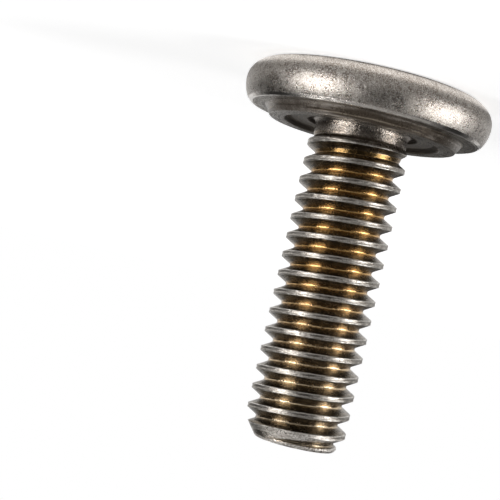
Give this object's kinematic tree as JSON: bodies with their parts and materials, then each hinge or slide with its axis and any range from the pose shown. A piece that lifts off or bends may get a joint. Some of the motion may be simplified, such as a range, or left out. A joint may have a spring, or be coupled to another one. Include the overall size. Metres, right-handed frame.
{
  "type": "projection weld stud",
  "caption": "Steel weld stud with a thick round head, a raised annular weld ring and recessed seat under it, a short plain neck and a rolled right-hand thread with a chamfered end.",
  "frame": {"origin": "centre of the head's outer face, which is the face the stud stands on", "axes": "+Z along the stud's axis, from the head towards the free end of the thread"},
  "size_m": [0.0184, 0.0184, 0.0272],
  "materials": {
    "bare_steel": "cold-formed bare steel, lightly darkened, bright on edges and crests"
  },
  "bodies": {
    "root": {"weld_stud": "bare_steel"}
  },
  "joints": []
}
